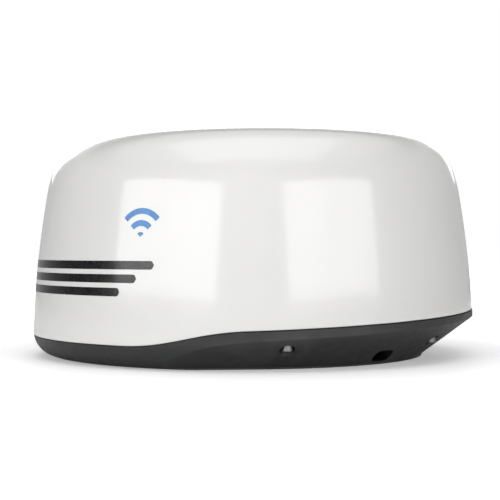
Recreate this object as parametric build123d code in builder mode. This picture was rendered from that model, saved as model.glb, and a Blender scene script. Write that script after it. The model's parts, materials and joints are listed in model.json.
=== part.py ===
"""A marine radar dome antenna: a white radome over a turning antenna array, on a dark base housing.

The origin is the centre of the base's underside, +Z is up and the bow side of the dome faces -Y.
Bearings are measured from the bow (-Y) towards +X, in degrees. Lengths are in millimetres.
"""

from build123d import *
from math import cos, radians, sin, sqrt
import os

os.makedirs("parts", exist_ok=True)

# Driving dimensions of the whole dome
dome_radius = 254.0
dome_height = 250.0
dome_wall = 4.0

# Radome side profile: a wall that leans in, a rounded shoulder and an almost flat crown
wall_foot_z = 24.0
wall_top_z = 182.9
wall_top_r = 238.7
wall_power = 1.7
crown_edge_r = 184.4
crown_edge_z = 245.2
shoulder_fullness = 0.66
shoulder_shift = 16.45
shoulder_shift_from_z = 197.6
shoulder_shift_over_z = 57.4
shoulder_shift_power = 2.1

# Base housing
bowl_corner = 27.0
bowl_wall = 4.5
chamfer_foot_r = 206.9
chamfer_run = 1.338
chamfer_centre_y = -16.0
chamfer_end_angle = 20.0
lip_height = 2.0
seam_gap = 0.8
rim_outer_r = 247.8
rim_wall = 4.0
rim_top = 60.0
flange_inner_r = 236.0
gasket_inner_r = 242.7
gasket_outer_r = 245.7
gasket_bottom = 57.0
ledge_bottom = 61.0

# Cover screws, M6, on the chamfer's own circle
screw_bearings = [-122, -73, -26, 26, 73, 122, 180]
screw_circle_r = 235.4
inner_screw_r = 222.0
outer_screw_r = 238.5
bow_bearing = 45.0
screw_r = 3.0
screw_head_r = 5.0
screw_head_bottom = 20.0
screw_head_top = 26.0
screw_seat = 27.5
screw_top = 76.0
counterbore_r = 7.8
tower_r = 10.5
boss_r = 7.5

# Mast mount, M8 on a rectangle
mount_x = 144.0
mount_y = 233.0
mount_tap_r = 3.4
mount_insert_r = 6.5
mount_insert_length = 20.0

# Cable bay and the channel that leads out of it
bay_x = (95.0, 165.0)
bay_y = (27.0, 72.0)
bay_top = 36.0
bay_wall = 4.0
channel_y = 50.0
channel_width = 26.0
channel_top = 16.0
channel_floor = 3.5
socket_y = [38.5, 60.5]
socket_z = 20.0

# Chassis levels
pillar_circle_r = 165.0
pillar_angles = [0, 60, 120, 155, 205, 240, 300]
plate_r = 190.0
plate_bottom = 56.0
plate_top = 59.0

# Antenna drive: 3 mm pitch belt, 20 teeth on the motor and 100 on the antenna
shaft_r = 12.5
shaft_bore_r = 8.0
shaft_bottom = 66.0
shaft_flange_r = 32.0
shaft_flange_bottom = 150.0
bracket_bottom = 154.0
bracket_top = 158.0
bearing_outer_r = 23.5
bearing_width = 12.0
bearing_bottoms = {"lower": 84.0, "upper": 122.0}
housing_top = 136.0
ball_circle_r = 18.0
ball_r = 3.2
driven_teeth = 100
motor_teeth = 20
driven_tip_r = 47.4
motor_tip_r = 9.2
tooth_groove_r = 0.9
belt_clearance = 0.35
belt_thickness = 1.4
pulley_bottom = 138.5
pulley_top = 149.5
pulley_flange = 1.0
motor_x = 88.0
motor_side = 42.3
motor_bottom = 94.0
motor_shaft_top = 153.0
shelf_bottom = 134.0
shelf_top = 137.0
running_gap = 0.3

# Antenna array
array_half_x = 212.0
array_front_y = -12.0
array_back_y = 10.0
array_bottom = bracket_top
array_top = 210.0
board_front_y = -5.6
board_back_y = -4.0
patch_pitch = 25.0
patch_columns = 16
patch_rows = [173.0, 195.0]
patch_side = 12.0


# Helpers ---------------------------------------------------------------------------------------

def at_bearing(radius, bearing):
    """The x and y of a point at a bearing from the bow."""
    return (radius * sin(radians(bearing)), -radius * cos(radians(bearing)))


def ring_of(radius, angles):
    """Points on a circle, at angles from +X."""
    return [(radius * cos(radians(angle)), radius * sin(radians(angle))) for angle in angles]


def post(radius, bottom, top, places=((0, 0),), mode=Mode.ADD):
    """Upright round posts, or round holes when they are subtracted."""
    with BuildSketch(Plane.XY.offset(bottom)) as outline:
        with Locations(*places):
            Circle(radius)
    extrude(outline.sketch, amount=top - bottom, mode=mode)


def slab(x_limits, y_limits, z_limits, mode=Mode.ADD):
    """A rectangular block between three pairs of limits."""
    with BuildSketch(Plane.XY.offset(z_limits[0])) as outline:
        with Locations((sum(x_limits) / 2, sum(y_limits) / 2)):
            Rectangle(x_limits[1] - x_limits[0], y_limits[1] - y_limits[0])
    extrude(outline.sketch, amount=z_limits[1] - z_limits[0], mode=mode)


def barrel(radius, start_x, end_x, places, mode=Mode.ADD):
    """Round barrels along X, at (y, z) places."""
    with BuildSketch(Plane.YZ.offset(start_x)) as outline:
        with Locations(*places):
            Circle(radius)
    extrude(outline.sketch, amount=end_x - start_x, mode=mode)


def radial_web(bearing, inner_r, outer_r, thickness, bottom, top, mode=Mode.ADD):
    """An upright web along a bearing, between two radii."""
    with BuildSketch(Plane.XY.offset(bottom)) as outline:
        with Locations(Location(at_bearing((inner_r + outer_r) / 2, bearing), bearing - 90)):
            Rectangle(outer_r - inner_r, thickness)
    extrude(outline.sketch, amount=top - bottom, mode=mode)


def tube_along(points, radii, wire_r):
    """A round lead along straight runs joined by tangent arcs."""
    with BuildLine() as route:
        FilletPolyline(*points, radius=radii)
    with BuildSketch(Plane(origin=points[0], z_dir=route.line % 0)) as section:
        Circle(wire_r)
    sweep(section.sketch, path=route.line)


# Radome cover ----------------------------------------------------------------------------------

def wall_radius(z):
    """Outer radius of the radome wall at a height."""
    rise = max(0.0, z - wall_foot_z) / (wall_top_z - wall_foot_z)
    return dome_radius - (dome_radius - wall_top_r) * rise**wall_power


def crown_height(radius):
    """Outer height of the crown at a radius."""
    return dome_height - (dome_height - crown_edge_z) * (radius / crown_edge_r) ** 4


def shoulder_point(t):
    """Radius and height on the cubic curve that joins the wall to the crown."""
    lean = wall_power * (dome_radius - wall_top_r) / (wall_top_z - wall_foot_z)
    fall = 4 * (dome_height - crown_edge_z) / crown_edge_r
    reach = wall_top_r - crown_edge_r
    corner_rise = (crown_edge_z - wall_top_z - fall * reach) / (1 - fall * lean)
    start = Vector(wall_top_r, wall_top_z)
    corner = Vector(wall_top_r - lean * corner_rise, wall_top_z + corner_rise)
    end = Vector(crown_edge_r, crown_edge_z)
    start_handle = start + (corner - start) * shoulder_fullness
    end_handle = end + (corner - end) * shoulder_fullness
    point = start * (1 - t) ** 3 + start_handle * (3 * t * (1 - t) ** 2)
    point += end_handle * (3 * t**2 * (1 - t)) + end * t**3
    return point.X, point.Y


def dome_sections(inset):
    """Radius, height and sternward shift of each level circle, for a skin inset from the outside."""
    profile = [(wall_radius(z), z) for z in (8, wall_foot_z, 55, 85, 115, 145, 165)]
    profile += [shoulder_point(step / 8) for step in range(9)]
    profile.append((crown_edge_r - 5, crown_height(crown_edge_r - 5)))
    sections = []
    for index, (radius, height) in enumerate(profile[:-1]):
        before = profile[max(index - 1, 0)]
        after = profile[index + 1]
        run, rise = after[0] - before[0], after[1] - before[1]
        length = sqrt(run**2 + rise**2)
        over = max(0.0, height - shoulder_shift_from_z) / shoulder_shift_over_z
        shift = shoulder_shift * over**shoulder_shift_power
        sections.append((radius - inset * rise / length, height + inset * run / length, shift))
    return sections


def seam_outline(drop):
    """Side view of the parting line between cover and base, closed downwards."""
    stern = (dome_radius + 20, 55.3 - drop)
    hip = (-112, 40.4 - drop)
    foot = (-212, 23.6 - drop)
    bow = (-dome_radius - 20, 23.9 - drop)
    with BuildLine() as outline:
        Line(stern, hip)
        Bezier(hip, (-160, 38.5 - drop), (-176, 23.6 - drop), foot)
        Polyline(foot, bow, (bow[0], -20), (stern[0], -20), stern)
    make_face(outline.line)


def crown_outline(edge_r, edge_z, inset):
    """Half section of the crown, above the last level circle."""
    middle_r = edge_r * 0.6
    with BuildLine() as outline:
        Spline((0, dome_height - inset), (middle_r, crown_height(middle_r) - inset), (edge_r, edge_z),
               tangents=((1, 0), (crown_edge_r, -4 * (dome_height - crown_edge_z))))
        Polyline((edge_r, edge_z), (0, edge_z), (0, dome_height - inset))
    make_face(outline.line)


screw_places = []
for bearing in screw_bearings:
    on_chamfer = screw_circle_r - chamfer_centre_y * cos(radians(bearing))
    if abs(bearing) < bow_bearing:
        on_chamfer = inner_screw_r
    screw_places.append(at_bearing(min(outer_screw_r, max(inner_screw_r, on_chamfer)), bearing))

with BuildPart() as dome_inside:
    for radius, height, shift in dome_sections(dome_wall):
        with BuildSketch(Plane.XY.offset(height)):
            with Locations((0, shift)):
                Circle(radius)
    loft()
    with BuildSketch(Plane.XZ.offset(-shift)):
        crown_outline(radius, height, dome_wall)
    revolve(axis=Axis((0, shift, 0), (0, 0, 1)))

with BuildPart() as cover_fixings:
    with BuildSketch(Plane.XY.offset(ledge_bottom)):
        Circle(dome_radius - 3)
        Circle(flange_inner_r, mode=Mode.SUBTRACT)
    extrude(amount=4)
    post(boss_r, ledge_bottom, 82, screw_places)
    for bearing in screw_bearings:
        radial_web(bearing, 224, dome_radius - 5.5, 5, ledge_bottom, 78)

with BuildPart() as radome_cover:
    for radius, height, shift in dome_sections(0.0):
        with BuildSketch(Plane.XY.offset(height)):
            with Locations((0, shift)):
                Circle(radius)
    loft()
    with BuildSketch(Plane.XZ.offset(-shift)):
        crown_outline(radius, height, 0.0)
    revolve(axis=Axis((0, shift, 0), (0, 0, 1)))
    add(dome_inside.part, mode=Mode.SUBTRACT)
    add(cover_fixings.part)
    post(4.5, ledge_bottom - 1, 77, screw_places, Mode.SUBTRACT)
    with BuildSketch(Plane.YZ):
        seam_outline(0.0)
    extrude(amount=dome_radius + 20, both=True, mode=Mode.SUBTRACT)

radome_cover.part.label = "radome_cover"
export_step(radome_cover.part, "parts/radome_cover.step")

with BuildPart() as cover_inserts:
    post(4.48, ledge_bottom + 0.5, screw_top, screw_places)
    post(screw_r + running_gap, ledge_bottom + 0.5, screw_top, screw_places, Mode.SUBTRACT)

cover_inserts.part.label = "cover_inserts"
export_step(cover_inserts.part, "parts/cover_inserts.step")


# Base housing ----------------------------------------------------------------------------------

def chamfer_plan(radius):
    """Plan of the chamfer at one level: an arc round the stern with tangents towards the bow."""
    angle = radians(chamfer_end_angle)
    start = Vector(radius * cos(angle), chamfer_centre_y - radius * sin(angle))
    far = start + Vector(-sin(angle), -cos(angle)) * 320
    with BuildLine() as outline:
        ThreePointArc((start.X, start.Y), (0, chamfer_centre_y + radius), (-start.X, start.Y))
        Polyline((-start.X, start.Y), (-far.X, far.Y), (far.X, far.Y), (start.X, start.Y))
    make_face(outline.line)


def chamfer_level(z):
    """Radius of the chamfer's plan arc at a height."""
    return chamfer_foot_r + chamfer_run * z


def bowl_profile(side_r, foot_z, top_z):
    """Half section of the round bowl, with its bullnose corner."""
    corner_r = dome_radius - bowl_corner
    with BuildLine() as outline:
        Polyline((corner_r, foot_z), (0, foot_z), (0, top_z), (side_r, top_z),
                 (side_r, foot_z + side_r - corner_r))
        RadiusArc((side_r, foot_z + side_r - corner_r), (corner_r, foot_z), side_r - corner_r)
    make_face(outline.line)


with BuildPart() as chamfer_outside:
    with BuildSketch(Plane.XY):
        chamfer_plan(chamfer_level(lip_height))
    extrude(amount=lip_height)
    with BuildSketch(Plane.XY.offset(lip_height)):
        chamfer_plan(chamfer_level(lip_height))
    with BuildSketch(Plane.XY.offset(rim_top + 4)):
        chamfer_plan(chamfer_level(rim_top + 4))
    loft(ruled=True)

chamfer_inset = bowl_wall * sqrt(1 + chamfer_run**2)
with BuildPart() as chamfer_inside:
    with BuildSketch(Plane.XY.offset(bowl_wall)):
        chamfer_plan(chamfer_level(bowl_wall) - chamfer_inset)
    with BuildSketch(Plane.XY.offset(rim_top + 4)):
        chamfer_plan(chamfer_level(rim_top + 4) - chamfer_inset)
    loft(ruled=True)

mount_places = [(x * mount_x / 2, y * mount_y / 2) for x in (-1, 1) for y in (-1, 1)]
pillar_places = ring_of(pillar_circle_r, pillar_angles)
ground_place = [(150, 64)]
vent_place = [(0, -150)]
insert_boss_r = 11.0
insert_boss_top = 24.0
pillar_bottom = 10.0
bay_outside_x = (bay_x[0] - bay_wall, bay_x[1] + bay_wall)
bay_outside_y = (bay_y[0] - bay_wall, bay_y[1] + bay_wall)
channel_x = (bay_x[1] - 1, dome_radius)

with BuildPart() as channel_outside:
    side = channel_width / 2 + bay_wall
    slab((bay_x[1], dome_radius), (channel_y - side, channel_y + side), (0, channel_top + bay_wall))

with BuildPart() as channel_bore:
    with BuildSketch(Plane.YZ.offset(channel_x[0])):
        with Locations((channel_y, (channel_floor + channel_top) / 2)):
            Rectangle(channel_width, channel_top - channel_floor)
        fillet(vertices().group_by(Axis.Z)[-1], 5.5)
    extrude(amount=channel_x[1] - channel_x[0])

with BuildPart() as housing_inside:
    with BuildSketch(Plane.XZ):
        bowl_profile(rim_outer_r - rim_wall, bowl_wall, rim_top - 9)
    revolve(axis=Axis.Z)
    with BuildSketch(Plane.XZ):
        with BuildLine() as throat:
            Polyline((0, rim_top - 9), (rim_outer_r - rim_wall, rim_top - 9), (flange_inner_r, rim_top - 4),
                     (flange_inner_r, rim_top + 4), (0, rim_top + 4), (0, rim_top - 9))
        make_face(throat.line)
    revolve(axis=Axis.Z)
    add(chamfer_inside.part, mode=Mode.INTERSECT)
    post(tower_r, 0, screw_seat + 4, screw_places, Mode.SUBTRACT)
    post(boss_r, 0, rim_top + 5, screw_places, Mode.SUBTRACT)
    post(insert_boss_r, 0, insert_boss_top, mount_places, Mode.SUBTRACT)
    post(8, 0, pillar_bottom, pillar_places, Mode.SUBTRACT)
    post(9, 0, 9, vent_place, Mode.SUBTRACT)
    slab(bay_outside_x, bay_outside_y, (0, bay_top + bay_wall), Mode.SUBTRACT)
    post(6.5, 0, 52, ground_place, Mode.SUBTRACT)
    add(channel_outside.part, mode=Mode.SUBTRACT)
    for bearing in screw_bearings:
        radial_web(bearing, 222, dome_radius, 5, 0, rim_top + 5, Mode.SUBTRACT)

with BuildPart() as above_seam:
    with BuildSketch(Plane.XZ):
        with Locations((rim_outer_r + 10, ledge_bottom / 2)):
            Rectangle(20, ledge_bottom + 10)
    revolve(axis=Axis.Z)
    with BuildSketch(Plane.YZ):
        seam_outline(seam_gap)
    extrude(amount=dome_radius + 20, both=True, mode=Mode.SUBTRACT)

with BuildPart() as base_housing:
    with BuildSketch(Plane.XZ):
        bowl_profile(dome_radius, 0, rim_top)
    revolve(axis=Axis.Z)
    add(chamfer_outside.part, mode=Mode.INTERSECT)
    add(housing_inside.part, mode=Mode.SUBTRACT)
    add(above_seam.part, mode=Mode.SUBTRACT)
    with BuildSketch(Plane.XY.offset(gasket_bottom)):
        Circle(gasket_outer_r + 0.1)
        Circle(gasket_inner_r - 0.1, mode=Mode.SUBTRACT)
    extrude(amount=rim_top - gasket_bottom, mode=Mode.SUBTRACT)
    post(screw_r + 0.4, 0, rim_top, screw_places, Mode.SUBTRACT)
    post(counterbore_r, 0, screw_seat, screw_places, Mode.SUBTRACT)
    post(mount_insert_r, 0, mount_insert_length, mount_places, Mode.SUBTRACT)
    post(mount_tap_r, 0, mount_insert_length + 2, mount_places, Mode.SUBTRACT)
    post(1.6, 0, pillar_bottom, pillar_places, Mode.SUBTRACT)
    slab(bay_x, bay_y, (0, bay_top), Mode.SUBTRACT)
    add(channel_bore.part, mode=Mode.SUBTRACT)
    barrel(7.05, bay_x[0] - bay_wall - 1, bay_x[0] + 1, [(y, socket_z) for y in socket_y], Mode.SUBTRACT)
    post(2.5, 0, 48, ground_place, Mode.SUBTRACT)
    post(5, 0, 10, vent_place, Mode.SUBTRACT)
    with BuildSketch(Plane.XY) as underside:
        with Locations((0, -6)):
            Circle(190)
        with Locations(*mount_places):
            Circle(17, mode=Mode.SUBTRACT)
        with Locations((sum(bay_x) / 2, sum(bay_y) / 2)):
            RectangleRounded(bay_x[1] - bay_x[0] + 16, bay_y[1] - bay_y[0] + 16, 8, mode=Mode.SUBTRACT)
    extrude(amount=1.5, mode=Mode.SUBTRACT)

base_housing.part.label = "base_housing"
export_step(base_housing.part, "parts/base_housing.step")

with BuildPart() as dome_gasket:
    with BuildSketch(Plane.XY.offset(gasket_bottom)):
        Circle(gasket_outer_r)
        Circle(gasket_inner_r, mode=Mode.SUBTRACT)
    extrude(amount=ledge_bottom - gasket_bottom)

dome_gasket.part.label = "dome_gasket"
export_step(dome_gasket.part, "parts/dome_gasket.step")

with BuildPart() as dome_screws:
    post(screw_head_r, screw_head_bottom, screw_head_top, screw_places)
    chamfer(edges().filter_by(GeomType.CIRCLE).group_by(Axis.Z)[0], 0.6)
    post(screw_r, screw_head_top, screw_top, screw_places)
    with BuildSketch(Plane.XY.offset(screw_head_bottom)):
        with Locations(*screw_places):
            RegularPolygon(2.9, 6)
    extrude(amount=3, mode=Mode.SUBTRACT)

dome_screws.part.label = "dome_screws"
export_step(dome_screws.part, "parts/dome_screws.step")

with BuildPart() as screw_washers:
    post(6, screw_head_top, screw_seat, screw_places)
    post(screw_r + 0.1, screw_head_top, screw_seat, screw_places, Mode.SUBTRACT)

screw_washers.part.label = "screw_washers"
export_step(screw_washers.part, "parts/screw_washers.step")

with BuildPart() as mount_inserts:
    post(mount_insert_r - 0.02, 0, mount_insert_length, mount_places)
    post(mount_tap_r, 0, mount_insert_length, mount_places, Mode.SUBTRACT)

mount_inserts.part.label = "mount_inserts"
export_step(mount_inserts.part, "parts/mount_inserts.step")

with BuildPart() as vent_plug:
    post(8, 0.3, 1.5, vent_place)
    post(4.95, 1.5, 11, vent_place)
    post(5.8, 9, 11, vent_place)
    post(1.2, 0.3, 11, vent_place, Mode.SUBTRACT)

vent_plug.part.label = "vent_plug"
export_step(vent_plug.part, "parts/vent_plug.step")

with BuildPart() as ground_screw:
    post(5, 31.5, 35, ground_place)
    post(6.5, 35, bay_top, ground_place)
    post(2.48, bay_top, 47, ground_place)
    with BuildSketch(Plane.XY.offset(31.5)):
        with Locations(*ground_place):
            Rectangle(7, 1.2)
            Rectangle(1.2, 7)
    extrude(amount=1.6, mode=Mode.SUBTRACT)

ground_screw.part.label = "ground_screw"
export_step(ground_screw.part, "parts/ground_screw.step")


# Sockets in the cable bay: one for power, one for the network ------------------------------------

socket_places = [(y, socket_z) for y in socket_y]
socket_flange_x = (bay_x[0] + 1, bay_x[0] + 3)
socket_mouth_x = 110.0
insulator_face_x = 103.0

with BuildPart() as socket_shells:
    barrel(9.5, *socket_flange_x, socket_places)
    barrel(8, socket_flange_x[1], socket_mouth_x, socket_places)
    barrel(7, 84, socket_flange_x[0], socket_places)
    barrel(6.45, 84, socket_mouth_x, socket_places, Mode.SUBTRACT)

socket_shells.part.label = "socket_shells"
export_step(socket_shells.part, "parts/socket_shells.step")

with BuildPart() as socket_seals:
    barrel(9.2, bay_x[0], socket_flange_x[0], socket_places)
    barrel(7.1, bay_x[0], socket_flange_x[0], socket_places, Mode.SUBTRACT)

socket_seals.part.label = "socket_seals"
export_step(socket_seals.part, "parts/socket_seals.step")

with BuildPart() as socket_nuts:
    with BuildSketch(Plane.YZ.offset(bay_x[0] - bay_wall - 4)):
        with Locations(*socket_places):
            RegularPolygon(10.5, 6)
            Circle(7.05, mode=Mode.SUBTRACT)
    extrude(amount=4)

socket_nuts.part.label = "socket_nuts"
export_step(socket_nuts.part, "parts/socket_nuts.step")

with BuildPart() as socket_insulators:
    barrel(6.4, 86, insulator_face_x, socket_places)

socket_insulators.part.label = "socket_insulators"
export_step(socket_insulators.part, "parts/socket_insulators.step")

with BuildPart() as socket_pins:
    with BuildSketch(Plane.YZ.offset(insulator_face_x)):
        with Locations(socket_places[0]):
            with PolarLocations(3.2, 4):
                Circle(0.9)
        with Locations(socket_places[1]):
            with PolarLocations(4.2, 7):
                Circle(0.55)
            Circle(0.55)
    extrude(amount=5)

socket_pins.part.label = "socket_pins"
export_step(socket_pins.part, "parts/socket_pins.step")


# Chassis ---------------------------------------------------------------------------------------

housing_screw_places = ring_of(44, [45, 135, 225, 315])
foot_screw_places = [(x, y) for x in (80, 96) for y in (-37, 37)]
board_x = (-95.0, 95.0)
board_y = (-125.0, -15.0)
board_bottom = 30.0
board_top = 31.6
standoff_places = [(-89, -119), (0, -119), (89, -119), (-89, -64), (0, -60), (89, -21)]
lead_hole = (128, 0)
coax_hole = (-76, 0)
access_holes = [(58, 112), (-58, 112)]

with BuildPart() as chassis_pillars:
    with BuildSketch(Plane.XY.offset(pillar_bottom)):
        with Locations(*pillar_places):
            RegularPolygon(5.5, 6)
    extrude(amount=plate_bottom - pillar_bottom)
    post(1.6, plate_bottom - 12, plate_bottom, pillar_places, Mode.SUBTRACT)

chassis_pillars.part.label = "chassis_pillars"
export_step(chassis_pillars.part, "parts/chassis_pillars.step")

with BuildPart() as chassis_plate:
    post(plate_r, plate_bottom, plate_top)
    chamfer(edges().filter_by(GeomType.CIRCLE), 0.5)
    post(7.5, plate_bottom, plate_top, mode=Mode.SUBTRACT)
    post(1.8, plate_bottom, plate_top, pillar_places + standoff_places, Mode.SUBTRACT)
    post(1.8, plate_bottom, plate_top, housing_screw_places + foot_screw_places, Mode.SUBTRACT)
    post(5, plate_bottom, plate_top, [lead_hole, coax_hole], Mode.SUBTRACT)
    post(20, plate_bottom, plate_top, access_holes, Mode.SUBTRACT)

chassis_plate.part.label = "chassis_plate"
export_step(chassis_plate.part, "parts/chassis_plate.step")

# Antenna bearing and shaft ---------------------------------------------------------------------

with BuildPart() as bearing_housing:
    post(50, plate_top, plate_top + 6)
    post(31, plate_top, housing_top)
    chamfer(edges().filter_by(GeomType.CIRCLE).group_by(Axis.Z)[-1], 1)
    with BuildSketch(Plane.XZ) as gusset:
        with BuildLine():
            Polyline((29, plate_top + 5), (47, plate_top + 5), (31, 105), (29, 105), (29, plate_top + 5))
        make_face()
    with PolarLocations(0, 4):
        extrude(gusset.sketch, amount=2.5, both=True)
    post(bearing_outer_r, plate_top, bearing_bottoms["lower"] + bearing_width, mode=Mode.SUBTRACT)
    post(20.5, plate_top, housing_top, mode=Mode.SUBTRACT)
    post(bearing_outer_r, bearing_bottoms["upper"], housing_top, mode=Mode.SUBTRACT)
    post(2.2, plate_top, plate_top + 6, housing_screw_places, Mode.SUBTRACT)

bearing_housing.part.label = "bearing_housing"
export_step(bearing_housing.part, "parts/bearing_housing.step")

for level, bottom in bearing_bottoms.items():
    middle = bottom + bearing_width / 2
    with BuildPart() as outer_ring:
        post(bearing_outer_r - 0.02, bottom, bottom + bearing_width)
        post(20, bottom, bottom + bearing_width, mode=Mode.SUBTRACT)
        with Locations((0, 0, middle)):
            Torus(ball_circle_r, ball_r + running_gap, mode=Mode.SUBTRACT)
    outer_ring.part.label = level + "_bearing_outer"
    export_step(outer_ring.part, "parts/" + level + "_bearing_outer.step")

    with BuildPart() as inner_ring:
        post(16, bottom, bottom + bearing_width)
        post(shaft_r + 0.02, bottom, bottom + bearing_width, mode=Mode.SUBTRACT)
        with Locations((0, 0, middle)):
            Torus(ball_circle_r, ball_r + running_gap, mode=Mode.SUBTRACT)
    inner_ring.part.label = level + "_bearing_inner"
    export_step(inner_ring.part, "parts/" + level + "_bearing_inner.step")

with BuildPart() as bearing_balls:
    with Locations(*[(0, 0, bottom + bearing_width / 2) for bottom in bearing_bottoms.values()]):
        with PolarLocations(ball_circle_r, 12):
            Sphere(ball_r)

bearing_balls.part.label = "bearing_balls"
export_step(bearing_balls.part, "parts/bearing_balls.step")

bracket_screw_places = ring_of(24, [60, 120, 240, 300])

with BuildPart() as rotor_shaft:
    post(shaft_r, shaft_bottom, shaft_flange_bottom)
    chamfer(edges().filter_by(GeomType.CIRCLE).group_by(Axis.Z)[0], 1)
    post(shaft_flange_r, shaft_flange_bottom, bracket_bottom)
    post(shaft_bore_r, shaft_bottom, bracket_bottom, mode=Mode.SUBTRACT)
    post(1.9, shaft_flange_bottom, bracket_bottom, bracket_screw_places, Mode.SUBTRACT)
    with BuildSketch(Plane.XY.offset(82)):
        Circle(shaft_r + 1)
        Circle(11.6, mode=Mode.SUBTRACT)
    extrude(amount=1.3, mode=Mode.SUBTRACT)

rotor_shaft.part.label = "rotor_shaft"
export_step(rotor_shaft.part, "parts/rotor_shaft.step")

with BuildPart() as retaining_ring:
    with BuildSketch(Plane.XY.offset(82.1)):
        Circle(15.2)
        Circle(11.65, mode=Mode.SUBTRACT)
        with Locations((16, 0)):
            Rectangle(14, 9, mode=Mode.SUBTRACT)
    extrude(amount=1.1)

retaining_ring.part.label = "retaining_ring"
export_step(retaining_ring.part, "parts/retaining_ring.step")


box_x = (-168.0, -62.0)
box_y = (-55.0, 55.0)
box_top = 104.0
box_wall = 2.5
box_floor_top = plate_top + box_wall
lid_top = box_top + box_wall
lid_screw_places = [(x, y) for x in (-164, -115, -66) for y in (-51, 51)]


# Rotary joint and feed -------------------------------------------------------------------------

with BuildPart() as rotary_joint_stator:
    post(15, plate_bottom - 6, plate_bottom)
    post(6.5, plate_bottom, 98)
    post(4, 42, plate_bottom - 6)
    post(3.5, 80, 98, mode=Mode.SUBTRACT)
    post(1.9, 42, 50, mode=Mode.SUBTRACT)

rotary_joint_stator.part.label = "rotary_joint_stator"
export_step(rotary_joint_stator.part, "parts/rotary_joint_stator.step")

with BuildPart() as rotary_joint_rotor:
    post(shaft_bore_r - 0.02, 102, 152)
    post(1.5, 84, 102)
    post(1.9, 146, 152, mode=Mode.SUBTRACT)

rotary_joint_rotor.part.label = "rotary_joint_rotor"
export_step(rotary_joint_rotor.part, "parts/rotary_joint_rotor.step")

with BuildPart() as feed_cable:
    feed_route = [(*coax_hole, box_floor_top), (*coax_hole, 36), (0, 0, 36), (0, 0, 50)]
    tube_along(feed_route, [10, 6], 1.8)

feed_cable.part.label = "feed_cable"
export_step(feed_cable.part, "parts/feed_cable.step")

with BuildPart() as array_feed:
    post(1.8, 146, 168)
    slab((-9, 9), (board_back_y, 6), (168, 182))

array_feed.part.label = "array_feed"
export_step(array_feed.part, "parts/array_feed.step")


# Belt drive ------------------------------------------------------------------------------------

belt_bottom = pulley_bottom + pulley_flange + 0.25
belt_top = pulley_top - pulley_flange - 0.25

with BuildPart() as driven_pulley:
    with BuildSketch(Plane.XY.offset(pulley_bottom)):
        Circle(driven_tip_r)
        with PolarLocations(driven_tip_r, driven_teeth):
            Circle(tooth_groove_r, mode=Mode.SUBTRACT)
    extrude(amount=pulley_top - pulley_bottom)
    post(driven_tip_r + 3, pulley_bottom, pulley_bottom + pulley_flange)
    post(driven_tip_r + 3, pulley_top - pulley_flange, pulley_top)
    with BuildSketch(Plane.XZ):
        for web_z in ((pulley_bottom, pulley_bottom + 3.5), (pulley_top - 3.5, pulley_top)):
            with Locations(((20 + 42) / 2, sum(web_z) / 2)):
                Rectangle(42 - 20, 3.5)
    revolve(axis=Axis.Z, mode=Mode.SUBTRACT)
    with BuildSketch(Plane.XY.offset(pulley_bottom)):
        with PolarLocations(31, 6):
            Circle(8)
    extrude(amount=pulley_top - pulley_bottom, mode=Mode.SUBTRACT)
    post(shaft_r + 0.02, pulley_bottom, pulley_top, mode=Mode.SUBTRACT)

driven_pulley.part.label = "driven_pulley"
export_step(driven_pulley.part, "parts/driven_pulley.step")

motor_place = [(motor_x, 0)]
motor_screw_places = [(motor_x + x, y) for x in (-15.5, 15.5) for y in (-15.5, 15.5)]

with BuildPart() as motor_pulley:
    with BuildSketch(Plane.XY.offset(pulley_bottom)):
        with Locations(*motor_place):
            Circle(motor_tip_r)
            with PolarLocations(motor_tip_r, motor_teeth):
                Circle(tooth_groove_r, mode=Mode.SUBTRACT)
    extrude(amount=pulley_top - pulley_bottom)
    post(motor_tip_r + 2.3, pulley_bottom, pulley_bottom + pulley_flange, motor_place)
    post(motor_tip_r + 2.3, pulley_top - pulley_flange, pulley_top, motor_place)
    post(8, pulley_top, motor_shaft_top, motor_place)
    post(2.52, pulley_bottom, motor_shaft_top, motor_place, Mode.SUBTRACT)
    barrel(1, motor_x + 2.6, motor_x + 9, [(0, (pulley_top + motor_shaft_top) / 2)], Mode.SUBTRACT)

motor_pulley.part.label = "motor_pulley"
export_step(motor_pulley.part, "parts/motor_pulley.step")

with BuildPart() as drive_belt:
    for outer_face, side in ((belt_thickness, Mode.ADD), (0.0, Mode.SUBTRACT)):
        with BuildSketch(Plane.XY.offset(belt_bottom)) as loop:
            Circle(driven_tip_r + belt_clearance + outer_face)
            with Locations(*motor_place):
                Circle(motor_tip_r + belt_clearance + outer_face)
            make_hull()
        extrude(loop.sketch, amount=belt_top - belt_bottom, mode=side)

drive_belt.part.label = "drive_belt"
export_step(drive_belt.part, "parts/drive_belt.step")

with BuildPart() as motor_shaft:
    post(2.5, 123, motor_shaft_top, motor_place)
    chamfer(edges().filter_by(GeomType.CIRCLE).group_by(Axis.Z)[-1], 0.5)

motor_shaft.part.label = "motor_shaft"
export_step(motor_shaft.part, "parts/motor_shaft.step")

motor_half = motor_side / 2

with BuildPart() as stepper_motor:
    slab((motor_x - motor_half, motor_x + motor_half), (-motor_half, motor_half), (motor_bottom, shelf_bottom))
    chamfer(edges().filter_by(Axis.Z), 4)
    with BuildSketch(Plane.XY.offset(motor_bottom + 10)):
        with Locations(*motor_place):
            Rectangle(motor_side + 2, motor_side + 2)
            Rectangle(motor_side - 1, motor_side - 1, mode=Mode.SUBTRACT)
    extrude(amount=20, mode=Mode.SUBTRACT)
    post(11, shelf_bottom, shelf_top - 1, motor_place)
    slab((motor_x + motor_half - 2, motor_x + motor_half + 6), (-8, 8), (96, 103))
    post(2.8, 122, shelf_top, motor_place, Mode.SUBTRACT)
    post(1.4, shelf_bottom - 5, shelf_bottom, motor_screw_places, Mode.SUBTRACT)

stepper_motor.part.label = "stepper_motor"
export_step(stepper_motor.part, "parts/stepper_motor.step")

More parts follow.
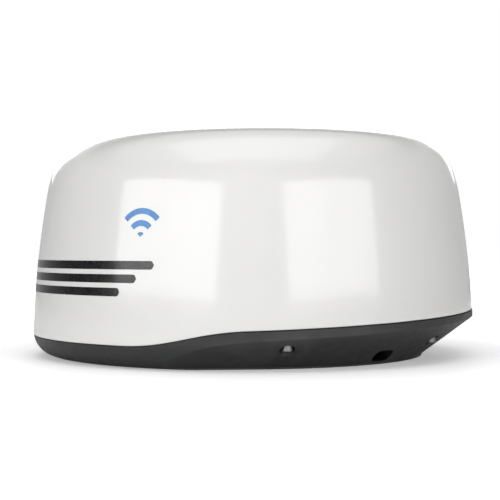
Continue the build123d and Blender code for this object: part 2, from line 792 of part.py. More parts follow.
with BuildPart() as motor_bracket:
    slab((64, 112), (-30, 30), (shelf_bottom, shelf_top))
    for side in (-1, 1):
        leg_y = sorted((side * 27, side * 30))
        foot_y = sorted((side * 27, side * 44))
        slab((72, 104), leg_y, (plate_top, shelf_top))
        slab((72, 104), foot_y, (plate_top, plate_top + 3))
    post(11.3, shelf_bottom, shelf_top, motor_place, Mode.SUBTRACT)
    post(1.8, shelf_bottom, shelf_top, motor_screw_places, Mode.SUBTRACT)
    post(2.2, plate_top, plate_top + 3, foot_screw_places, Mode.SUBTRACT)
    with BuildSketch(Plane.XZ):
        with Locations((motor_x, 95)):
            SlotOverall(44, 18, rotation=90)
    extrude(amount=40, both=True, mode=Mode.SUBTRACT)

motor_bracket.part.label = "motor_bracket"
export_step(motor_bracket.part, "parts/motor_bracket.step")

with BuildPart() as motor_screws:
    post(2.75, shelf_top, shelf_top + 1.6, motor_screw_places)
    post(1.35, shelf_bottom - 4.5, shelf_top, motor_screw_places)

motor_screws.part.label = "motor_screws"
export_step(motor_screws.part, "parts/motor_screws.step")

with BuildPart() as plate_screws:
    for seat, places in ((plate_top + 6, housing_screw_places), (plate_top + 3, foot_screw_places)):
        post(3.5, seat, seat + 3, places)
        with BuildSketch(Plane.XY.offset(seat + 3)):
            with Locations(*places):
                RegularPolygon(1.7, 6)
        extrude(amount=-1.8, mode=Mode.SUBTRACT)
        post(1.75, plate_bottom, seat, places)

plate_screws.part.label = "plate_screws"
export_step(plate_screws.part, "parts/plate_screws.step")

with BuildPart() as motor_lead:
    lead_route = [(motor_x + motor_half + 6, 0, 99.5), (128, 0, 99.5), (128, 0, 44), (112, -30, 40),
                  (96, -50, 36)]
    tube_along(lead_route, [7, 9, 7], 2.2)

motor_lead.part.label = "motor_lead"
export_step(motor_lead.part, "parts/motor_lead.step")


# Antenna array ---------------------------------------------------------------------------------

array_screw_places = [(x, z) for x in (-90, -70, 70, 90) for z in (172, 192)]
magnet_place = [(0, 58)]

with BuildPart() as array_bracket:
    post(66, bracket_bottom, bracket_top)
    slab((-150, 150), (array_front_y, array_back_y + 3), (bracket_bottom, bracket_top))
    for side in (-1, 1):
        slab(sorted((side * 60, side * 100)), (array_back_y, array_back_y + 3), (bracket_bottom, 200))
    post(3, bracket_bottom, bracket_top, mode=Mode.SUBTRACT)
    post(2.2, bracket_bottom, bracket_top, bracket_screw_places, Mode.SUBTRACT)
    post(10, bracket_bottom, bracket_top, ring_of(46, [35, 145, 215, 325]), Mode.SUBTRACT)
    with BuildSketch(Plane.XZ):
        with Locations(*array_screw_places):
            Circle(2.1)
    extrude(amount=-30, mode=Mode.SUBTRACT)

array_bracket.part.label = "array_bracket"
export_step(array_bracket.part, "parts/array_bracket.step")

with BuildPart() as array_bracket_screws:
    post(3.5, bracket_top, bracket_top + 2.4, bracket_screw_places)
    fillet(edges().filter_by(GeomType.CIRCLE).group_by(Axis.Z)[-1], 1.2)
    post(1.85, shaft_flange_bottom, bracket_top, bracket_screw_places)

array_bracket_screws.part.label = "array_bracket_screws"
export_step(array_bracket_screws.part, "parts/array_bracket_screws.step")

with BuildPart() as array_frame:
    slab((-array_half_x, array_half_x), (array_front_y, array_back_y), (array_bottom, array_top))
    fillet(edges().filter_by(Axis.Z).sort_by(Axis.Y)[-2:], 5)
    slab((-205, 205), (board_back_y - 0.1, array_back_y - 2), (array_bottom + 6, array_top - 6), Mode.SUBTRACT)
    slab((-208.2, 208.2), (array_front_y, board_back_y), (array_bottom + 2.8, array_top - 2.8), Mode.SUBTRACT)
    post(3, array_bottom, array_bottom + 7, mode=Mode.SUBTRACT)
    with BuildSketch(Plane.XZ.offset(-array_back_y + 3)):
        with Locations(*array_screw_places):
            Circle(1.8)
    extrude(amount=-4, mode=Mode.SUBTRACT)
    with BuildSketch(Plane.XZ.offset(-array_back_y)):
        for x in (-160, -125, -30, 30, 125, 160):
            with Locations((x, (array_bottom + array_top) / 2)):
                SlotOverall(34, 6, rotation=90)
    extrude(amount=1, mode=Mode.SUBTRACT)

array_frame.part.label = "array_frame"
export_step(array_frame.part, "parts/array_frame.step")

with BuildPart() as array_board:
    slab((-208, 208), (board_front_y, board_back_y), (array_bottom + 3, array_top - 3))

array_board.part.label = "array_board"
export_step(array_board.part, "parts/array_board.step")

with BuildPart() as array_patches:
    with BuildSketch(Plane.XZ.offset(-board_front_y)):
        columns = [(step - (patch_columns - 1) / 2) * patch_pitch for step in range(patch_columns)]
        with Locations(*[(x, z) for x in columns for z in patch_rows]):
            Rectangle(patch_side, patch_side)
        with Locations((0, sum(patch_rows) / 2)):
            Rectangle(columns[-1] * 2 + 1.2, 1.2)
        with Locations(*[(x, sum(patch_rows) / 2) for x in columns]):
            Rectangle(1.2, patch_rows[1] - patch_rows[0])
    extrude(amount=0.3)

array_patches.part.label = "array_patches"
export_step(array_patches.part, "parts/array_patches.step")

with BuildPart() as array_screws:
    with BuildSketch(Plane.XZ.offset(-array_back_y - 3)):
        with Locations(*array_screw_places):
            Circle(3.2)
    extrude(amount=-2.2)
    with BuildSketch(Plane.XZ.offset(-array_back_y + 2)):
        with Locations(*array_screw_places):
            Circle(1.75)
    extrude(amount=-5)

array_screws.part.label = "array_screws"
export_step(array_screws.part, "parts/array_screws.step")

with BuildPart() as heading_magnet:
    post(3, bracket_bottom - 4, bracket_bottom, magnet_place)

heading_magnet.part.label = "heading_magnet"
export_step(heading_magnet.part, "parts/heading_magnet.step")

with BuildPart() as sensor_bracket:
    slab((-7, 7), (58, 60), (plate_top, 146))
    slab((-7, 7), (58, 74), (plate_top, plate_top + 2))
    post(2, plate_top, plate_top + 2, [(0, 68)], Mode.SUBTRACT)

sensor_bracket.part.label = "sensor_bracket"
export_step(sensor_bracket.part, "parts/sensor_bracket.step")

with BuildPart() as heading_sensor:
    slab((-6, 6), (56.4, 58), (126, 147))
    slab((-2, 2), (55, 56.4), (142, 146))

heading_sensor.part.label = "heading_sensor"
export_step(heading_sensor.part, "parts/heading_sensor.step")


# Transceiver -----------------------------------------------------------------------------------

with BuildPart() as transceiver_housing:
    slab(box_x, box_y, (plate_top, box_top))
    fillet(edges().filter_by(Axis.Z), 4)
    slab((box_x[0] + box_wall, box_x[1] - box_wall), (box_y[0] + box_wall, box_y[1] - box_wall),
         (box_floor_top, box_top), Mode.SUBTRACT)
    post(4.2, plate_top, box_top, lid_screw_places)
    for step in range(12):
        fin_y = -44 + 8 * step
        slab((box_x[0] - 7, box_x[0] + 0.5), (fin_y - 1, fin_y + 1), (plate_top + 4, box_top - 4))
    post(1.5, box_top - 12, box_top, lid_screw_places, Mode.SUBTRACT)
    post(2.2, plate_top, box_floor_top, [coax_hole], Mode.SUBTRACT)

transceiver_housing.part.label = "transceiver_housing"
export_step(transceiver_housing.part, "parts/transceiver_housing.step")

with BuildPart() as transceiver_lid:
    slab(box_x, box_y, (box_top, lid_top))
    fillet(edges().filter_by(Axis.Z), 4)
    with BuildSketch(Plane.XY.offset(lid_top)):
        with Locations(((box_x[0] + box_x[1]) / 2, 0)):
            with GridLocations(0, 14, 1, 6):
                SlotOverall(74, 5)
    extrude(amount=-1, mode=Mode.SUBTRACT)
    post(1.8, box_top, lid_top, lid_screw_places, Mode.SUBTRACT)

transceiver_lid.part.label = "transceiver_lid"
export_step(transceiver_lid.part, "parts/transceiver_lid.step")

with BuildPart() as magnetron:
    post(12, 67, 91, [(-140, 25)])
    post(15, 76, 82, [(-140, 25)])
    slab((-134, -110), (16, 34), (72, 86))

magnetron.part.label = "magnetron"
export_step(magnetron.part, "parts/magnetron.step")

with BuildPart() as magnetron_magnet:
    slab((-163, -124), (9, 41), (box_floor_top, 67))
    slab((-163, -124), (9, 41), (91, 97))
    slab((-163, -157), (9, 41), (box_floor_top, 97))

magnetron_magnet.part.label = "magnetron_magnet"
export_step(magnetron_magnet.part, "parts/magnetron_magnet.step")

with BuildPart() as circulator:
    post(13, box_floor_top, 74, [(-90, 20)])
    slab((-110, -100), (16, 24), (box_floor_top, 72))
    slab((-80, -72), (-5, 24), (box_floor_top, 72))

circulator.part.label = "circulator"
export_step(circulator.part, "parts/circulator.step")

with BuildPart() as receiver_module:
    slab((-112, -80), (-46, -6), (box_floor_top, 80))
    chamfer(faces().sort_by(Axis.Z)[-1].edges(), 1.5)

receiver_module.part.label = "receiver_module"
export_step(receiver_module.part, "parts/receiver_module.step")

with BuildPart() as modulator_board:
    slab((-158, -118), (-48, -4), (box_floor_top + 2, box_floor_top + 3.6))
    post(2.5, box_floor_top, box_floor_top + 2, [(x, y) for x in (-154, -122) for y in (-44, -8)])

modulator_board.part.label = "modulator_board"
export_step(modulator_board.part, "parts/modulator_board.step")

modulator_top = box_floor_top + 3.6
with BuildPart() as modulator_parts:
    slab((-155, -133), (-30, -8), (modulator_top, modulator_top + 24))
    post(5, modulator_top, modulator_top + 22, [(-126, -14), (-126, -26)])
    slab((-152, -124), (-44, -36), (modulator_top, modulator_top + 5))

modulator_parts.part.label = "modulator_parts"
export_step(modulator_parts.part, "parts/modulator_parts.step")


# M3 pan head screws: pillars and standoffs from above, lid from above, signal board from below -----

m3_head_height = 2.0
screw_groups = [(plate_top, pillar_places + standoff_places), (lid_top, lid_screw_places)]

with BuildPart() as chassis_screws:
    for seat, places in screw_groups:
        post(3, seat, seat + m3_head_height, places)
    fillet(edges().filter_by(GeomType.CIRCLE).group_by(Axis.Z)[-1], 1)
    post(3, board_bottom - m3_head_height, board_bottom, standoff_places)
    for seat, places in screw_groups:
        post(1.45, seat - 10, seat, places)
    post(1.45, board_bottom, board_bottom + 10, standoff_places)

chassis_screws.part.label = "chassis_screws"
export_step(chassis_screws.part, "parts/chassis_screws.step")


# Signal board under the chassis plate ------------------------------------------------------------

with BuildPart() as board_standoffs:
    with BuildSketch(Plane.XY.offset(board_top)):
        with Locations(*standoff_places):
            RegularPolygon(3.2, 6)
    extrude(amount=plate_bottom - board_top)
    post(1.6, plate_bottom - 9, plate_bottom, standoff_places, Mode.SUBTRACT)
    post(1.6, board_top, board_top + 9, standoff_places, Mode.SUBTRACT)

board_standoffs.part.label = "board_standoffs"
export_step(board_standoffs.part, "parts/board_standoffs.step")

with BuildPart() as main_board:
    slab(board_x, board_y, (board_bottom, board_top))
    fillet(edges().filter_by(Axis.Z), 3)
    post(1.6, board_bottom, board_top, standoff_places, Mode.SUBTRACT)

main_board.part.label = "main_board"
export_step(main_board.part, "parts/main_board.step")

with BuildPart() as board_components:
    slab((-20, 10), (-96, -66), (board_top, board_top + 4))
    for x in (-44, -30):
        slab((x - 5, x + 5), (-84, -66), (board_top, board_top + 2))
    for x in (30, 44, 58):
        slab((x - 5, x + 5), (-110, -98), (board_top, board_top + 6))
    post(5, board_top, board_top + 13, [(30, -80), (44, -80), (58, -80)])
    slab((30, 46), (-30, -17), (board_top, board_top + 9))
    slab((56, 74), (-30, -17), (board_top, board_top + 9))
    slab((84, 94), (-58, -44), (board_top, board_top + 2))

board_components.part.label = "board_components"
export_step(board_components.part, "parts/board_components.step")

with BuildPart() as shield_can:
    slab((-85, -52), (-100, -40), (board_top, board_top + 8))
    chamfer(faces().sort_by(Axis.Z)[-1].edges(), 1)

shield_can.part.label = "shield_can"
export_step(shield_can.part, "parts/shield_can.step")

with BuildPart() as wiring_harness:
    for start_y, end_x, wire_r in ((socket_y[0], 38, 3.2), (socket_y[1], 65, 2.6)):
        harness_route = [(86, start_y, socket_z), (68, start_y, socket_z), (end_x, 30, 34), (end_x, 6, 36),
                         (end_x, -17, 36)]
        tube_along(harness_route, [7, 9, 9], wire_r)

wiring_harness.part.label = "wiring_harness"
export_step(wiring_harness.part, "parts/wiring_harness.step")
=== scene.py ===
"""Looks for the radar dome antenna: materials, the moulded radome skin, its markings, light and camera.

Lengths are in metres, in the frame of the CAD model: +Z up, bow side at -Y.
"""
import json
import math

import bpy
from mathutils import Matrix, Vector


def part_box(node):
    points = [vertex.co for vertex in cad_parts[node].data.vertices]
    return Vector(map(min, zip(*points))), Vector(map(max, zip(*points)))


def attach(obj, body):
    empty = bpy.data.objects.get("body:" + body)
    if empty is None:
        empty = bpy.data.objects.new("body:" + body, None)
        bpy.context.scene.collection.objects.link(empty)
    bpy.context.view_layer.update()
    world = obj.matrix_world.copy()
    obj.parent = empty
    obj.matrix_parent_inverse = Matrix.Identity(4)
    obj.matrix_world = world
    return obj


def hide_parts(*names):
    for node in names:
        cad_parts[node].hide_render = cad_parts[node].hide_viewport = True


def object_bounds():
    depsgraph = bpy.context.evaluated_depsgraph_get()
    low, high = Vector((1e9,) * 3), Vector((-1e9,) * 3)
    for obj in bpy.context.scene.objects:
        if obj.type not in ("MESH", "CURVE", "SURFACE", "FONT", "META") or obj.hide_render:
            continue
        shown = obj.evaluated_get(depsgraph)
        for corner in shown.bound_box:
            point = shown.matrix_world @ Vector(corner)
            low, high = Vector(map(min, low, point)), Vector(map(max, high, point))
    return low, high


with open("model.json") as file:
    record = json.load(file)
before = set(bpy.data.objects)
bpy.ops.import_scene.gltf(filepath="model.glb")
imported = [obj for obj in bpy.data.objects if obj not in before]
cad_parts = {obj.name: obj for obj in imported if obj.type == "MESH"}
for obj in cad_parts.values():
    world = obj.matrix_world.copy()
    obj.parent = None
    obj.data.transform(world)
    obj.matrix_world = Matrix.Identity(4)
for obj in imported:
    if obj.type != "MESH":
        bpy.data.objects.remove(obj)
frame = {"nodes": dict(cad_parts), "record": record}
cad_box = [list(map(float, corner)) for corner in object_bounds()]
nodes = frame["nodes"]

MM = 0.001

# Radome form, as in the CAD model
DOME_R = cad_box[1][1]
DOME_H = 250.0 * MM
DOME_WALL = 4.0 * MM
WALL_FOOT_Z = 24.0 * MM
WALL_TOP_Z = 182.9 * MM
WALL_TOP_R = 238.7 * MM
WALL_POWER = 1.7
CROWN_R = 184.4 * MM
CROWN_Z = 245.2 * MM
FULLNESS = 0.66
SHIFT = 16.45 * MM
SHIFT_FROM_Z = 197.6 * MM
SHIFT_OVER_Z = 57.4 * MM
SHIFT_POWER = 2.1
SEAM_HIP = (-112 * MM, 40.4 * MM)
SEAM_FOOT = (-212 * MM, 23.6 * MM)
SEAM_HANDLES = ((-160 * MM, 38.5 * MM), (-176 * MM, 23.6 * MM))
SEAM_SLOPE = 14.9 / 386.0
RIM_ROUND = 1.3 * MM
AROUND = 288

# Ledge, screw bosses and webs inside the cover, as in the CAD model
LEDGE_INNER_R = 236 * MM
LEDGE_OUTER_R = 249.5 * MM
LEDGE_THICKNESS = 4 * MM
LEDGE_ROUND = 0.8 * MM
SCREW_BEARINGS = (-122, -73, -26, 26, 73, 122, 180)
BOW_BEARING = 45
CHAMFER_SCREW_R = 235.4 * MM
CHAMFER_OFFSET = 16 * MM
INNER_SCREW_R = 222 * MM
OUTER_SCREW_R = 238.5 * MM
BOSS_R = 7.5 * MM
BOSS_BORE_R = 4.5 * MM
BOSS_BORE_TOP = 77 * MM
BOSS_TOP = 82 * MM
BOSS_TOP_R = 6.7 * MM
BOSS_SIDE_TOP = 81 * MM
WEB_HALF = 2.5 * MM
WEB_TOP = 78 * MM
WEB_START = 6 * MM
WEB_END_R = 248.5 * MM

# Markings
MARK_LIFT = 0.18 * MM
STRIPE_HEIGHT = 8.5 * MM
STRIPES = ((104 * MM, 186 * MM), (90.5 * MM, 166 * MM), (77 * MM, 146 * MM))
WAVE_ALONG = 168 * MM
WAVE_Z = 132 * MM
WAVE_RADII = ((0.0, 5 * MM), (11 * MM, 17 * MM), (23 * MM, 29 * MM))
WAVE_HALF_ANGLE = 48

# The photographed view
VIEW_BEARING = 65.0
VIEW_DISTANCE = 1.396
VIEW_HEIGHT = 0.1184
VIEW_LENS = 85.4
VIEW_SHIFT = (-0.0064, 0.0014)


# Small mesh helpers ----------------------------------------------------------------------------

def make_object(name, vertices, faces, smooth=True):
    mesh = bpy.data.meshes.new(name)
    mesh.from_pydata([tuple(v) for v in vertices], [], faces)
    mesh.validate()
    mesh.update()
    if smooth:
        mesh.polygons.foreach_set("use_smooth", [True] * len(mesh.polygons))
    piece = bpy.data.objects.new(name, mesh)
    bpy.context.scene.collection.objects.link(piece)
    return piece


def grid_faces(rows, columns, closed):
    """Quads between rows of points; closed joins the last column to the first."""
    faces = []
    for row in range(rows - 1):
        for column in range(columns if closed else columns - 1):
            after = (column + 1) % columns
            faces.append((row * columns + column, row * columns + after,
                          (row + 1) * columns + after, (row + 1) * columns + column))
    return faces


def lathe(name, profile, steps, centres=((0.0, 0.0),)):
    """Closed rings of (radius, height) profiles, turned about one or more upright axes."""
    vertices = []
    faces = []
    count = len(profile)
    for x, y in centres:
        start = len(vertices)
        for radius, height in profile:
            for step in range(steps):
                angle = 2 * math.pi * step / steps
                vertices.append((x + radius * math.cos(angle), y + radius * math.sin(angle), height))
        for face in grid_faces(count + 1, steps, True):
            faces.append(tuple(start + index % (count * steps) for index in face))
    return make_object(name, vertices, faces)


# Radome form -----------------------------------------------------------------------------------

def wall_radius(z):
    rise = max(0.0, z - WALL_FOOT_Z) / (WALL_TOP_Z - WALL_FOOT_Z)
    return DOME_R - (DOME_R - WALL_TOP_R) * rise ** WALL_POWER


def crown_height(radius):
    return DOME_H - (DOME_H - CROWN_Z) * (radius / CROWN_R) ** 4


def shoulder_point(t):
    """Radius and height on the cubic curve between wall and crown."""
    lean = WALL_POWER * (DOME_R - WALL_TOP_R) / (WALL_TOP_Z - WALL_FOOT_Z)
    fall = 4 * (DOME_H - CROWN_Z) / CROWN_R
    corner_rise = (CROWN_Z - WALL_TOP_Z - fall * (WALL_TOP_R - CROWN_R)) / (1 - fall * lean)
    start = Vector((WALL_TOP_R, WALL_TOP_Z))
    corner = Vector((WALL_TOP_R - lean * corner_rise, WALL_TOP_Z + corner_rise))
    end = Vector((CROWN_R, CROWN_Z))
    first = start.lerp(corner, FULLNESS)
    second = end.lerp(corner, FULLNESS)
    return (start * (1 - t) ** 3 + first * (3 * t * (1 - t) ** 2)
            + second * (3 * t ** 2 * (1 - t)) + end * t ** 3)


def stern_shift(z):
    """How far a level circle sits towards the stern."""
    over = max(0.0, min(z, CROWN_Z) - SHIFT_FROM_Z) / SHIFT_OVER_Z
    return SHIFT * over ** SHIFT_POWER


def seam_height(y):
    """Height of the cover's lower edge, from its side view."""
    if y >= SEAM_HIP[0]:
        return SEAM_HIP[1] + (y - SEAM_HIP[0]) * SEAM_SLOPE
    if y <= SEAM_FOOT[0]:
        return SEAM_FOOT[1]
    points = (SEAM_HIP,) + SEAM_HANDLES + (SEAM_FOOT,)
    low, high = 0.0, 1.0
    for _ in range(30):
        t = (low + high) / 2
        weights = ((1 - t) ** 3, 3 * t * (1 - t) ** 2, 3 * t ** 2 * (1 - t), t ** 3)
        along, up = (sum(w * p[axis] for w, p in zip(weights, points)) for axis in (0, 1))
        if along > y:
            low = t
        else:
            high = t
    return up


def upper_profile():
    """Outer (radius, height) points from the top of the wall to the crown's middle."""
    points = [shoulder_point(step / 44) for step in range(1, 45)]
    for step in range(1, 30):
        radius = CROWN_R * (1 - step / 30)
        points.append(Vector((radius, crown_height(radius))))
    return points


def skin_point(radius, height, bearing, shift):
    return (radius * math.sin(bearing), -radius * math.cos(bearing) + shift, height)


def radome_skin():
    """The moulded cover: outer skin, rounded lower rim and inner skin, as one closed mesh."""
    wall_rows = 44
    upper = upper_profile()
    columns = []
    for step in range(AROUND):
        bearing = 2 * math.pi * step / AROUND
        foot = seam_height(-DOME_R * math.cos(bearing))
        outer = []
        for row in range(wall_rows):
            z = foot + RIM_ROUND + (WALL_TOP_Z - foot - RIM_ROUND) * row / (wall_rows - 1)
            outer.append(Vector((wall_radius(z), z)))
        outer += upper
        rim_r = wall_radius(foot + RIM_ROUND)
        rim = []
        for quarter in (1, 0.75, 0.5, 0.25, 0):
            turn = quarter * math.pi / 2
            rim.append(Vector((rim_r - RIM_ROUND + RIM_ROUND * math.cos(turn),
                               foot + RIM_ROUND - RIM_ROUND * math.sin(turn))))
        inner_rim = [Vector((2 * rim_r - DOME_WALL - p.x, p.y)) for p in reversed(rim[:-1])]
        inner = []
        for index in range(1, len(outer)):
            along = outer[min(index + 1, len(outer) - 1)] - outer[index - 1]
            along.normalize()
            inner.append((outer[index] + Vector((-along.y, along.x)) * DOME_WALL, outer[index].y))
        line = list(reversed(inner))
        line += [(p, 0.0) for p in inner_rim]
        line += [(p, 0.0) for p in rim[:-1]]
        line += [(p, p.y) for p in outer]
        columns.append([skin_point(p.x, p.y, bearing, stern_shift(z)) for p, z in line])
    rows = len(columns[0])
    vertices = [columns[step][row] for row in range(rows) for step in range(AROUND)]
    faces = grid_faces(rows, AROUND, True)
    shift = stern_shift(DOME_H)
    vertices.append((0.0, shift, DOME_H - DOME_WALL))
    vertices.append((0.0, shift, DOME_H))
    inside, outside, last = len(vertices) - 2, len(vertices) - 1, (rows - 1) * AROUND
    for step in range(AROUND):
        after = (step + 1) % AROUND
        faces.append((inside, after, step))
        faces.append((outside, last + step, last + after))
    return make_object("radome_skin", vertices, faces)


def screw_place(bearing):
    """Plan position of a cover screw: on the chamfer's own circle, or further in under the bow."""
    turn = math.radians(bearing)
    radius = min(OUTER_SCREW_R, max(INNER_SCREW_R, CHAMFER_SCREW_R + CHAMFER_OFFSET * math.cos(turn)))
    if abs(bearing) < BOW_BEARING:
        radius = INNER_SCREW_R
    return (radius * math.sin(turn), -radius * math.cos(turn))


def radome_fixings():
    """The ledge, screw bosses and webs moulded inside the cover."""
    ledge_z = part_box("dome_gasket")[1][2]
    ledge_top = ledge_z + LEDGE_THICKNESS
    section = [(LEDGE_INNER_R, ledge_z), (LEDGE_OUTER_R, ledge_z), (LEDGE_OUTER_R, ledge_top),
               (LEDGE_INNER_R + LEDGE_ROUND, ledge_top), (LEDGE_INNER_R, ledge_top - LEDGE_ROUND)]
    ledge = lathe("radome_ledge", section, AROUND)
    centres = [screw_place(bearing) for bearing in SCREW_BEARINGS]
    boss = [(BOSS_BORE_R, ledge_z), (BOSS_R, ledge_z), (BOSS_R, BOSS_SIDE_TOP), (BOSS_TOP_R, BOSS_TOP),
            (0.0, BOSS_TOP), (0.0, BOSS_BORE_TOP), (BOSS_BORE_R, BOSS_BORE_TOP)]
    bosses = lathe("radome_bosses", boss, 40, centres)
    vertices = []
    faces = []
    for x, y in centres:
        out = Vector((x, y, 0)).normalized()
        side = Vector((-out.y, out.x, 0)) * WEB_HALF
        near, far = out * (math.hypot(x, y) + WEB_START), out * WEB_END_R
        start = len(vertices)
        for z in (ledge_z, WEB_TOP):
            for corner in (near - side, far - side, far + side, near + side):
                vertices.append((corner.x, corner.y, z))
        for face in ((3, 2, 1, 0), (4, 5, 6, 7), (0, 1, 5, 4), (1, 2, 6, 5), (2, 3, 7, 6), (3, 0, 4, 7)):
            faces.append(tuple(start + index for index in face))
    webs = make_object("radome_webs", vertices, faces, smooth=False)
    return [ledge, bosses, webs]


# Generic markings on the bow: plain stripes and a wave symbol ------------------------------------

def on_dome(along, z):
    """A point just proud of the dome, at a distance round from the bow and a height."""
    return skin_point(wall_radius(z) + MARK_LIFT, z, along / DOME_R, stern_shift(z))


def stripe(name, middle_z, height, half_length):
    """A band round the bow with round ends."""
    columns, rows = 180, 9
    vertices = []
    for column in range(columns):
        along = half_length * (2 * column / (columns - 1) - 1)
        past = max(0.0, abs(along) - (half_length - height / 2))
        half = math.sqrt(max((height / 2) ** 2 - past ** 2, 1e-10))
        for row in range(rows):
            vertices.append(on_dome(along, middle_z + half * (2 * row / (rows - 1) - 1)))
    return make_object(name, vertices, grid_faces(columns, rows, False))


def wave_arc(name, inner_r, outer_r):
    """One arc of the wave symbol, above its centre."""
    columns, rows = 36, 4
    half_angle = math.radians(WAVE_HALF_ANGLE)
    vertices = []
    for column in range(columns):
        angle = math.pi / 2 + half_angle * (1 - 2 * column / (columns - 1))
        for row in range(rows):
            radius = inner_r + (outer_r - inner_r) * row / (rows - 1)
            along = WAVE_ALONG + radius * math.cos(angle)
            vertices.append(on_dome(along, WAVE_Z + radius * math.sin(angle)))
    return make_object(name, vertices, grid_faces(columns, rows, False))


# Materials -------------------------------------------------------------------------------------

class Surface:
    """A procedural material on object coordinates, built up in steps."""

    def __init__(self, name, roughness=0.5, metallic=0.0, coat=0.0, coat_roughness=0.1, specular=0.5):
        self.material = bpy.data.materials.new(name)
        self.material.use_nodes = True
        self.tree = self.material.node_tree
        self.shader = self.tree.nodes["Principled BSDF"]
        self.shader.inputs["Roughness"].default_value = roughness
        self.shader.inputs["Metallic"].default_value = metallic
        self.shader.inputs["Coat Weight"].default_value = coat
        self.shader.inputs["Coat Roughness"].default_value = coat_roughness
        self.shader.inputs["Specular IOR Level"].default_value = specular
        self.coordinates = self.tree.nodes.new("ShaderNodeTexCoord").outputs["Object"]
        self.normal = None

    def link(self, output, target):
        self.tree.links.new(output, target)

    def noise(self, scale, detail=4.0, stretch=(1, 1, 1), distortion=0.0):
        mapping = self.tree.nodes.new("ShaderNodeMapping")
        mapping.inputs["Scale"].default_value = stretch
        texture = self.tree.nodes.new("ShaderNodeTexNoise")
        texture.inputs["Scale"].default_value = scale
        texture.inputs["Detail"].default_value = detail
        texture.inputs["Distortion"].default_value = distortion
        self.link(self.coordinates, mapping.inputs["Vector"])
        self.link(mapping.outputs["Vector"], texture.inputs["Vector"])
        return texture.outputs["Fac"]

    def cells(self, scale, feature="F1"):
        texture = self.tree.nodes.new("ShaderNodeTexVoronoi")
        texture.feature = feature
        texture.inputs["Scale"].default_value = scale
        self.link(self.coordinates, texture.inputs["Vector"])
        return texture.outputs["Distance"]

    def edges(self):
        """Bright on convex edges, where handling wears a surface."""
        return self.ramp(self.tree.nodes.new("ShaderNodeNewGeometry").outputs["Pointiness"], 0.52, 0.60)

    def ramp(self, value, low, high, to_low=0.0, to_high=1.0):
        node = self.tree.nodes.new("ShaderNodeMapRange")
        node.inputs["From Min"].default_value = low
        node.inputs["From Max"].default_value = high
        node.inputs["To Min"].default_value = to_low
        node.inputs["To Max"].default_value = to_high
        self.link(value, node.inputs["Value"])
        return node.outputs["Result"]

    def mix(self, factor, first, second):
        """Colour mix; first and second are colours or outputs."""
        node = self.tree.nodes.new("ShaderNodeMix")
        node.data_type = "RGBA"
        self.link(factor, node.inputs[0])
        for value, socket in ((first, node.inputs[6]), (second, node.inputs[7])):
            if isinstance(value, tuple):
                socket.default_value = value + (1.0,)
            else:
                self.link(value, socket)
        return node.outputs[2]

    def colour(self, output):
        self.link(output, self.shader.inputs["Base Color"])
        return self

    def rough(self, output):
        self.link(output, self.shader.inputs["Roughness"])
        return self

    def bump(self, height, strength, distance):
        node = self.tree.nodes.new("ShaderNodeBump")
        node.inputs["Strength"].default_value = strength
        node.inputs["Distance"].default_value = distance
        self.link(height, node.inputs["Height"])
        if self.normal is not None:
            self.link(self.normal, node.inputs["Normal"])
        self.normal = node.outputs["Normal"]
        self.link(self.normal, self.shader.inputs["Normal"])
        return self


def gelcoat():
    s = Surface("gelcoat_white", roughness=0.16, coat=0.35, coat_roughness=0.05)
    haze = s.noise(3.5, 6, distortion=0.4)
    streaks = s.noise(14, 5, (1, 1, 0.12))
    clean = s.mix(s.ramp(haze, 0.35, 0.7), (0.845, 0.840, 0.830), (0.880, 0.875, 0.865))
    s.colour(s.mix(s.ramp(streaks, 0.62, 0.85, 0.0, 0.25), clean, (0.80, 0.79, 0.77)))
    s.rough(s.ramp(s.noise(40, 5), 0.3, 0.75, 0.13, 0.20))
    s.bump(s.noise(110, 2), 0.012, 0.0006)
    return s.material


def housing_plastic():
    s = Surface("housing_grey", specular=0.42)
    grain = s.noise(900, 3)
    blotch = s.noise(9, 5)
    base = s.mix(s.ramp(blotch, 0.3, 0.7), (0.022, 0.0225, 0.0235), (0.031, 0.0315, 0.0325))
    s.colour(s.mix(s.ramp(s.edges(), 0, 1, 0, 0.3), base, (0.11, 0.11, 0.115)))
    s.rough(s.ramp(s.noise(120, 4), 0.3, 0.7, 0.40, 0.52))
    s.bump(grain, 0.18, 0.0003)
    s.bump(s.cells(1400), 0.08, 0.0002)
    return s.material


def metal(name, light, dark, roughness, stretch=(1, 1, 1), grain=260, bump=0.06, metallic=1.0):
    s = Surface(name, metallic=metallic)
    scratches = s.noise(grain, 5, stretch)
    patina = s.noise(14, 6)
    body = s.mix(s.ramp(patina, 0.3, 0.72), dark, light)
    s.colour(s.mix(s.ramp(s.edges(), 0, 1, 0, 0.5), body, tuple(min(1.0, c * 1.2) for c in light)))
    s.rough(s.ramp(scratches, 0.25, 0.75, roughness - 0.07, roughness + 0.10))
    s.bump(scratches, bump, 0.0003)
    return s.material


def rubber(name, colour, ribs=0.0):
    s = Surface(name, specular=0.35)
    dust = s.noise(35, 6)
    s.colour(s.mix(s.ramp(dust, 0.45, 0.8), colour, tuple(c * 2.2 + 0.01 for c in colour)))
    s.rough(s.ramp(s.noise(160, 4), 0.3, 0.7, 0.55, 0.75))
    s.bump(s.noise(700, 3), 0.15, 0.0003)
    if ribs:
        wave = s.tree.nodes.new("ShaderNodeTexWave")
        wave.inputs["Scale"].default_value = ribs
        s.link(s.coordinates, wave.inputs["Vector"])
        s.bump(wave.outputs["Fac"], 0.25, 0.0004)
    return s.material


def moulded(name, colour, roughness=0.42):
    s = Surface(name)
    s.colour(s.mix(s.ramp(s.noise(25, 5), 0.3, 0.75), colour, tuple(c * 1.5 + 0.004 for c in colour)))
    s.rough(s.ramp(s.noise(220, 4), 0.3, 0.7, roughness - 0.06, roughness + 0.1))
    s.bump(s.noise(1100, 2), 0.12, 0.0002)
    return s.material


